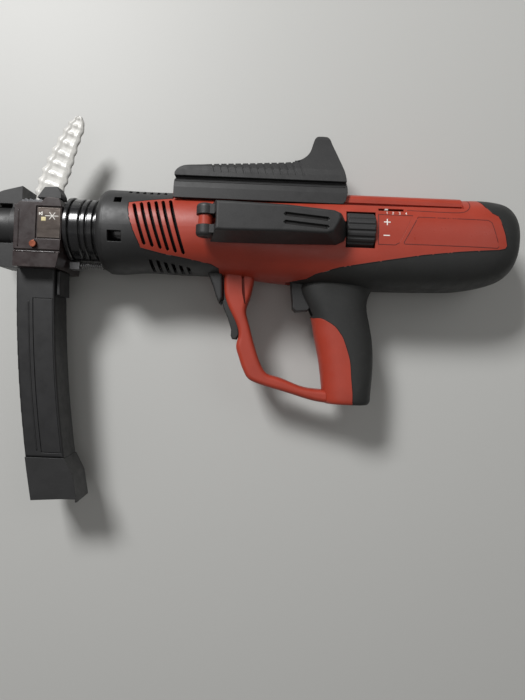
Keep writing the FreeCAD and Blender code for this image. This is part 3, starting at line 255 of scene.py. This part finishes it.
finish(
    "white_plastic", (0.60, 0.59, 0.56), rough=0.3, vary=0.14, grain=300, grain_depth=0.00015, scuffs=0.35,
    scuff_color=(0.42, 0.40, 0.37), through=0.2, edge_color=(0.95, 0.95, 0.95),
)
finish("yellow_plastic", (0.62, 0.42, 0.04), rough=0.4, vary=0.1)
finish("brass", (0.60, 0.42, 0.16), rough=0.3, metal=1.0, vary=0.15, scratch=0.8)
# Dark for the seams between parts; on the lever it is painted shade in place of its slots.
finish("dark_seam_and_slot_shade", (0.006, 0.005, 0.005), rough=0.8, vary=0.3, edge=0.0, scuffs=0.0)
# Dark red for the seams round the name panel and the scale; at the rail's slot it is a line of painted shade
# along a step.
finish("red_seam_and_step_shade", (0.085, 0.010, 0.008), rough=0.6, vary=0.2, edge=0.0, scuffs=0.0)
finish("print_white", (0.78, 0.76, 0.72), rough=0.5, vary=0.08, grain=900, scuffs=0.25, edge=0.0,
       scuff_color=(0.5, 0.3, 0.26))
finish("print_yellow", (0.62, 0.54, 0.30), rough=0.45, vary=0.15, grain=900, scuffs=0.4, edge=0.0,
       scuff_color=(0.3, 0.26, 0.16))
# Painted shade: a near-black, dull steel for the parts seen through the vents.
finish("vent_shade_steel", (0.012, 0.012, 0.0125), rough=0.72, metal=0.4, vary=0.3, grain=420, grain_depth=0.00003,
       scuffs=0.2, scuff_color=(0.05, 0.048, 0.046), scratch=0.6, stretch=(0.15, 1, 1), edge=0.0)

for entry in frame["record"]["subparts"]:
    thing = nodes[entry["node"]]
    thing.data.materials.clear()
    thing.data.materials.append(MATERIALS[entry["material_slot"]])
# Painted shade: the steel behind the vents gets a near-black, dull finish, so that the vents look dark
# inside.
for name in ("receiver_sleeve", "piston_guide"):
    nodes[name].data.materials[0] = MATERIALS["vent_shade_steel"]


# ---------------------------------------------------------------- ways to make a piece
def surface(*names):
    """The outside of some CAD nodes, to lay marks and seams on."""
    corners, faces = [], []
    for name in names:
        mesh = nodes[name].data
        start = len(corners)
        corners += [tuple(vertex.co) for vertex in mesh.vertices]
        faces += [tuple(start + index for index in face.vertices) for face in mesh.polygons]
    return BVHTree.FromPolygons(corners, faces)


def landed(tree, x, y, side):
    """Where a line down through (x, y), in millimetres, meets the surface from the left (1) or right (-1)."""
    spot, normal, _, _ = tree.ray_cast(Vector((x * MM, y * MM, side * OUTSIDE)), Vector((0, 0, -side)))
    return (spot, normal) if spot and spot.z > FLOOR + FLOOR_GAP * MM else None


def on_curve(a, b, c, d, u):
    """The point at u, from b to c, on the Catmull-Rom curve through a, b, c and d, and the slope there."""
    square = 2 * a - 5 * b + 4 * c - d
    cube = 3 * b - a - 3 * c + d
    point = 0.5 * (2 * b + (c - a) * u + square * u * u + cube * u**3)
    slope = 0.5 * ((c - a) + 2 * square * u + 3 * cube * u**2)
    return point, slope


def smooth_run(points, step, closed):
    """Points about one step apart on a smooth curve through the given ones."""
    last = len(points) - 1
    run = []
    for i in range(last + 1 if closed else last):
        around = [(i + k) % (last + 1) if closed else min(max(i + k, 0), last) for k in (-1, 0, 1, 2)]
        a, b, c, d = (Vector(points[k]) for k in around)
        pieces = max(1, round((c - b).length / step))
        run += [on_curve(a, b, c, d, n / pieces)[0] for n in range(pieces)]
    if not closed:
        run.append(Vector(points[-1]))
    return run


def straight_run(points, step, closed):
    """Points about one step apart on the straight lines between the given ones."""
    ends = [*points, points[0]] if closed else points
    run = []
    for a, b in zip(ends, ends[1:]):
        a, b = Vector(a), Vector(b)
        pieces = max(1, round((b - a).length / step))
        run += [a.lerp(b, n / pieces) for n in range(pieces)]
    if not closed:
        run.append(Vector(ends[-1]))
    return run


def new_piece(name, mesh_builder, body, material, smooth=True):
    mesh = bpy.data.meshes.new(name)
    mesh_builder.normal_update()
    mesh_builder.to_mesh(mesh)
    mesh_builder.free()
    for polygon in mesh.polygons:
        polygon.use_smooth = smooth
    mesh.materials.append(MATERIALS[material])
    piece = bpy.data.objects.new(name, mesh)
    bpy.context.scene.collection.objects.link(piece)
    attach(piece, body)
    return piece


def bead(build, run, width, lift, sink, closed):
    """A flat bead along (spot, normal) pairs: one closed strip of mesh, a little proud of the surface."""
    rings = []
    count = len(run)
    for i, (spot, normal) in enumerate(run):
        before = run[(i - 1) % count if closed else max(i - 1, 0)][0]
        after = run[(i + 1) % count if closed else min(i + 1, count - 1)][0]
        along = (after - before).normalized()
        aside = normal.cross(along).normalized()
        half = width * MM / 2
        shoulder, flat = lift * 0.6, half * 0.6
        section = [
            (-half, -sink), (-half, shoulder), (-flat, lift), (flat, lift), (half, shoulder), (half, -sink),
        ]
        rings.append([build.verts.new(spot + aside * a + normal * b) for a, b in section])
    links = list(zip(rings, [*rings[1:], rings[0]] if closed else rings[1:]))
    for first, second in links:
        for k in range(len(first)):
            turn = (k + 1) % len(first)
            build.faces.new((first[k], first[turn], second[turn], second[k]))
    if not closed:
        build.faces.new(list(reversed(rings[0])))
        build.faces.new(rings[-1])


def marks(name, body, material, tree, lines, width, side=1, lift=0.05, sink=0.15, step=0.8):
    """Seams, ridges or printed lines that lie on the surface. Each line is (points, closed, curved), and the
    step between its points stays under BREAK."""
    build = bmesh.new()
    for points, closed, curved in lines:
        path = (smooth_run if curved else straight_run)(points, step, closed)
        run, part = [], []
        for point in path:
            found = landed(tree, point.x, point.y, side)
            if found and (not part or (found[0] - part[-1][0]).length < BREAK * MM):
                part.append(found)
            else:
                if len(part) > 2:
                    run.append(part)
                part = [found] if found else []
        whole = not run and closed
        if len(part) > 2:
            run.append(part)
        for part in run:
            bead(build, part, width, lift * MM, sink * MM, whole)
    bmesh.ops.recalc_face_normals(build, faces=build.faces)
    return new_piece(name, build, body, material)


# ---------------------------------------------------------------- seams, printed marks and a line of painted shade
HOUSING = (
    "front_sleeve", "housing_left", "housing_right", "rear_cover_left", "rear_cover_right", "side_badge",
    "power_scale",
)
shell = surface(*HOUSING)
SLEEVE_SEAM = [
    (164.8, 24.2), (147.7, 21.9), (129.9, 18.5), (130.4, 12), (132, 4.8), (135.2, -4.5), (139, -13.4),
    (141.2, -17.8), (157.7, -21.2), (174.2, -23.6), (196.9, -27.3), (203.2, -30.1),
]
REAR_SEAM = [
    (254, -40), (260.7, -38.1), (275.5, -35.9), (282.7, -32.4), (300.6, -27.3), (337.8, -20.6),
    (365.7, -15.7), (393.6, -12.1), (425.3, -9), (430.5, -7.6), (432.1, -5.2), (430.3, 3), (424.9, 18.3),
    (419.5, 20.9), (415.5, 26), (412.8, 33.1),
]
for side, word in ((1, "left"), (-1, "right")):
    marks(f"shell_seam_{word}", "housing", "dark_seam_and_slot_shade", shell,
          [(SLEEVE_SEAM, False, False), (REAR_SEAM, False, False)], 0.75, side, lift=0.14, sink=0.5)
# The name panel and the scale, on the left side.
PANEL = [(349.5, -6.4), (360.4, 14.6), (415.6, 14.2), (418.6, 12.4), (425, -6), (423.6, -7.6), (350.2, -7.6)]
SCALE = [(345.9, -6.8), (342.6, -8.6), (329.4, -8.6), (329.2, -2), (329.2, 15.6), (356.4, 15.6)]
marks(
    "panel_seam", "housing", "red_seam_and_step_shade", shell,
    [(PANEL, True, False), (SCALE, False, False)], 0.6,
)
# A dark red line round the end of the rail's slot, up over the shoulder: painted shade along the step of a
# recessed band.
STEP_SHADE_LINE = [(352, 20.2), (380, 19.6), (393, 19.8), (399, 21.4), (402.6, 25.4), (403.8, 30.5), (404.2, 34)]
marks("slot_step_shade", "housing", "red_seam_and_step_shade", shell, [(STEP_SHADE_LINE, False, True)], 0.7)
PLUS_MINUS = [([(333.4, 9.4), (338.6, 9.4)], False, False), ([(336, 12), (336, 6.8)], False, False),
              ([(333.2, -1.4), (338.2, -1.4)], False, False)]
marks("plus_minus", "housing", "print_white", shell, PLUS_MINUS, 0.85, lift=0.06, step=0.4)
DIGITS = {
    "1": [[(0.2, 1.4), (0.9, 2), (0.9, -2)]],
    "2": [[(-0.9, 1.2), (-0.2, 2), (0.8, 1.6), (0.8, 0.6), (-1, -2), (1, -2)]],
    "3": [[(-0.9, 2), (0.9, 2), (0, 0.4), (0.9, -0.6), (0.6, -1.8), (-0.3, -2), (-1, -1.4)]],
    "4": [[(0.5, -2), (0.5, 2), (-1, -0.7), (1.1, -0.7)]],
}
strokes = []
for place, digit in enumerate("1234"):
    for stroke in DIGITS[digit]:
        middle = 335.6 + 5.2 * place
        strokes.append(([(middle + 0.62 * x, 17.3 + 0.5 * y) for x, y in stroke], False, False))
marks("scale_digits", "housing", "print_white", shell, strokes, 0.34, lift=0.05, step=0.3)

# ---------------------------------------------------------------- the spent carrier strip
STRIP_Z = 0.0
STRIP_RISE = 1.55  # the thickness above STRIP_Z, times the ridges' height
STRIP_DROP = 1.1  # the thickness below it
SPINE = [
    (50.4, 9), (50.6, 20), (52.2, 32), (55.6, 44), (60, 56), (65, 68), (70.4, 80), (75, 90), (77.6, 97.6),
]
RIGHT_SWELL = 3.4  # the lower links lie wider on their right
HALF_WIDTHS = [8.6, 9.2, 10.6, 10.8, 10.4, 9.8, 9.0, 7.6, 2.2]


def spine_at(u):
    """The spine's point, its unit tangent and the half width at u, from 0 at the nose to 1 at the tip."""
    run = u * (len(SPINE) - 1)
    i = min(int(run), len(SPINE) - 2)
    part = run - i
    a, b, c, d = (Vector((*SPINE[min(max(i + k, 0), len(SPINE) - 1)], 0)) for k in (-1, 0, 1, 2))
    spot, slope = on_curve(a, b, c, d, part)
    return spot, slope.normalized(), HALF_WIDTHS[i] * (1 - part) + HALF_WIDTHS[i + 1] * part


def strip_piece():
    """Milky plastic links in a row: a web with a toothed edge, and a collar with two wings on every link."""
    build = bmesh.new()
    columns, rows, links = 15, 176, 11
    top, bottom = [], []
    for r in range(rows + 1):
        u = r / rows
        spot, along, half = spine_at(u)
        aside = Vector((along.y, -along.x, 0))
        phase = (u * links) % 1
        tooth = max(0, 1 - abs(phase - 0.62) / 0.36) ** 0.8
        left = half * (0.80 + 0.20 * tooth)
        swell = RIGHT_SWELL * math.sin(math.pi * min(1, u / 0.8)) ** 2
        right = half * (0.95 + 0.05 * math.sin(2 * math.pi * phase)) + swell
        rises, lows = [], []
        for c in range(columns):
            across = c / (columns - 1) * 2 - 1
            reach = across * (right if across > 0 else left)
            rim = max(0, 1 - abs(abs(across) - 0.62) / 0.2)
            web = max(0, 1 - abs(across) / 0.5)
            collar = math.cos(math.pi * (phase - 0.5)) ** 6
            ridge = 0.5 + 0.95 * rim * (0.55 + 0.45 * collar) + 0.7 * collar * web
            ridge *= min(1, (1 - abs(across)) * 6 + 0.12)
            place = spot + aside * reach
            z = STRIP_Z + ridge * STRIP_RISE
            rises.append(build.verts.new(Vector((place.x, place.y, z)) * MM))
            lows.append(build.verts.new(Vector((place.x, place.y, STRIP_Z - STRIP_DROP)) * MM))
        top.append(rises)
        bottom.append(lows)
    for r in range(rows):
        for c in range(columns - 1):
            build.faces.new((top[r][c], top[r][c + 1], top[r + 1][c + 1], top[r + 1][c]))
            build.faces.new((bottom[r][c], bottom[r + 1][c], bottom[r + 1][c + 1], bottom[r][c + 1]))
        for c in (0, columns - 1):
            build.faces.new((top[r][c], top[r + 1][c], bottom[r + 1][c], bottom[r][c]))
    for r in (0, rows):
        for c in range(columns - 1):
            build.faces.new((top[r][c], top[r][c + 1], bottom[r][c + 1], bottom[r][c]))
    bmesh.ops.recalc_face_normals(build, faces=build.faces)
    return new_piece("carrier_links", build, "nose", "white_plastic")


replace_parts(strip_piece(), "carrier_strip")

# ---------------------------------------------------------------- the seam of the grip's insert
grip_skin = surface("grip_cover", "grip_insert")
INSERT_SEAM = [(283, -66.8), (290.3, -67.2), (300.4, -72.9), (305.2, -78.4), (308.7, -84.1), (313.7, -98.2),
               (315.2, -106), (316, -114.7), (317.6, -128), (317.9, -136)]
for side, word in ((1, "left"), (-1, "right")):
    marks(
        f"grip_seam_{word}", "housing", "dark_seam_and_slot_shade", grip_skin, [(INSERT_SEAM, False, True)],
        0.6, side,
    )

# ---------------------------------------------------------------- marks on the magazine base
plate = surface("base_plate_left", "magazine_base")
marks(
    "plate_signs", "nose", "print_white", plate,
    [
        ([(62.6, 5.4), (73.4, 5.4)], False, False), ([(66, 8.2), (70.6, 2.6)], False, False),
        ([(70.6, 8.2), (66, 2.6)], False, False),
        ([(57.8, 8), (60.2, 5.6), (60.2, 8.6), (57.8, 6)], True, False),
    ],
    0.5, lift=0.04, step=0.5,
)
marks(
    "plate_square", "nose", "print_yellow", plate,
    [([(60 + 0.9 * k, 4.4), (60 + 0.9 * k, 1.2)], False, False) for k in range(4)], 0.95, lift=0.04,
    step=0.5,
)

# ---------------------------------------------------------------- raised lines, and slots in painted shade, on the black parts
slide_skin = surface("cocking_slide")
for side, word in ((1, "left"), (-1, "right")):
    marks(f"slide_bead_{word}", "cocking_slide", "black_plastic", slide_skin,
          [([(167, 38.4), (236, 38.4), (303, 38.4)], False, False)], 1.5, side, lift=0.5, sink=0.3, step=2)
lever_skin = surface("side_lever")
# Painted shade: the lever's two slots are flat dark strips on its surface, drawn in place of the shade inside
# them.
RAIL_SLOT_SHADE = [([(255, y), (286.6, y - 2.5)], False, False) for y in (6.9, 0.9)]
marks("lever_slot_shade", "side_lever", "dark_seam_and_slot_shade", lever_skin, RAIL_SLOT_SHADE, 2.7, lift=0.05)
magazine_skin = surface("magazine_body", "magazine_panel_left", "magazine_panel_right", "magazine_foot")
MAGAZINE_CURVE = 1090  # the radius of its front edge
MAGAZINE_TOP = -20  # the height at which that edge runs straight down


def along_magazine(offset, low, high, count=24):
    """Points down the curved magazine at a distance behind its front edge."""
    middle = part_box("magazine_body")[0][0] / MM + MAGAZINE_CURVE
    bow = MAGAZINE_CURVE - offset
    heights = [low + (high - low) * n / count for n in range(count + 1)]
    return [(middle - math.sqrt(bow * bow - (y - MAGAZINE_TOP) ** 2), y) for y in heights]


for side, word in ((1, "left"), (-1, "right")):
    marks(f"magazine_ridge_{word}", "nose", "magazine_black", magazine_skin,
          [(along_magazine(10.5, -62, -186), False, True)], 1.1, side, lift=0.45, sink=0.3, step=1.5)
base_skin = surface("magazine_base")
marks("base_steps", "nose", "base_paint", base_skin,
      [([(39.5, -23.8), (72.2, -23.8)], False, False), ([(41.5, 10), (41.5, -20)], False, False)],
      0.9, lift=0.4, sink=0.3, step=1.5)

# ---------------------------------------------------------------- floor, light and camera
floor_mesh = bpy.data.meshes.new("floor")
reach = 6.0  # metres
corners = [(-reach, -reach), (reach, -reach), (reach, reach), (-reach, reach)]
floor_mesh.from_pydata([(x, y, FLOOR) for x, y in corners], [], [(0, 1, 2, 3)])
floor = bpy.data.objects.new("floor", floor_mesh)
bpy.context.scene.collection.objects.link(floor)
ground = bpy.data.materials.new("floor_grey")
ground.use_nodes = True
base = ground.node_tree.nodes["Principled BSDF"]
base.inputs["Base Color"].default_value = (0.47, 0.47, 0.455, 1)
base.inputs["Roughness"].default_value = 0.55
floor_mesh.materials.append(ground)


def area_light(name, where, target, size, power, tint=(1, 1, 1)):
    lamp = bpy.data.lights.new(name, "AREA")
    lamp.shape = "RECTANGLE"
    lamp.size, lamp.size_y = size
    lamp.energy = power
    lamp.color = tint
    holder = bpy.data.objects.new(name, lamp)
    bpy.context.scene.collection.objects.link(holder)
    holder.location = where
    holder.rotation_euler = (Vector(target) - Vector(where)).to_track_quat("-Z", "Y").to_euler()


CENTRE = (0.235, -0.06, 0.0)
area_light("key", (-0.45, 0.95, 1.15), CENTRE, (0.5, 0.36), 29)
area_light("fill", (1.1, 0.5, 1.2), CENTRE, (0.8, 0.8), 1.6)
area_light("top", (0.2, -0.3, 1.6), CENTRE, (1.2, 0.8), 2.2)
world = bpy.data.worlds.new("studio")
bpy.context.scene.world = world
world.use_nodes = True
world.node_tree.nodes["Background"].inputs["Color"].default_value = (1.0, 0.985, 0.955, 1)
world.node_tree.nodes["Background"].inputs["Strength"].default_value = 0.17
bpy.context.scene.view_settings.view_transform = "Standard"

lens = bpy.data.cameras.new("camera")
lens.sensor_width = 36
lens.lens = 27.05
lens.clip_start = 0.02
camera = bpy.data.objects.new("camera", lens)
bpy.context.scene.collection.objects.link(camera)
# It looks straight down, turned a little, so that the barrel lies slightly off the picture's width.
VIEWPOINT = (0.2420, -0.09535, 0.450)
right = Vector((0.9991, 0.0419, 0))
upward = Vector((-0.0419, 0.9991, 0))
back = Vector((0, 0, 1))
rows = [(*axes, place) for *axes, place in zip(right, upward, back, VIEWPOINT)]
camera.matrix_world = Matrix((*rows, (0, 0, 0, 1)))
bpy.context.scene.camera = camera
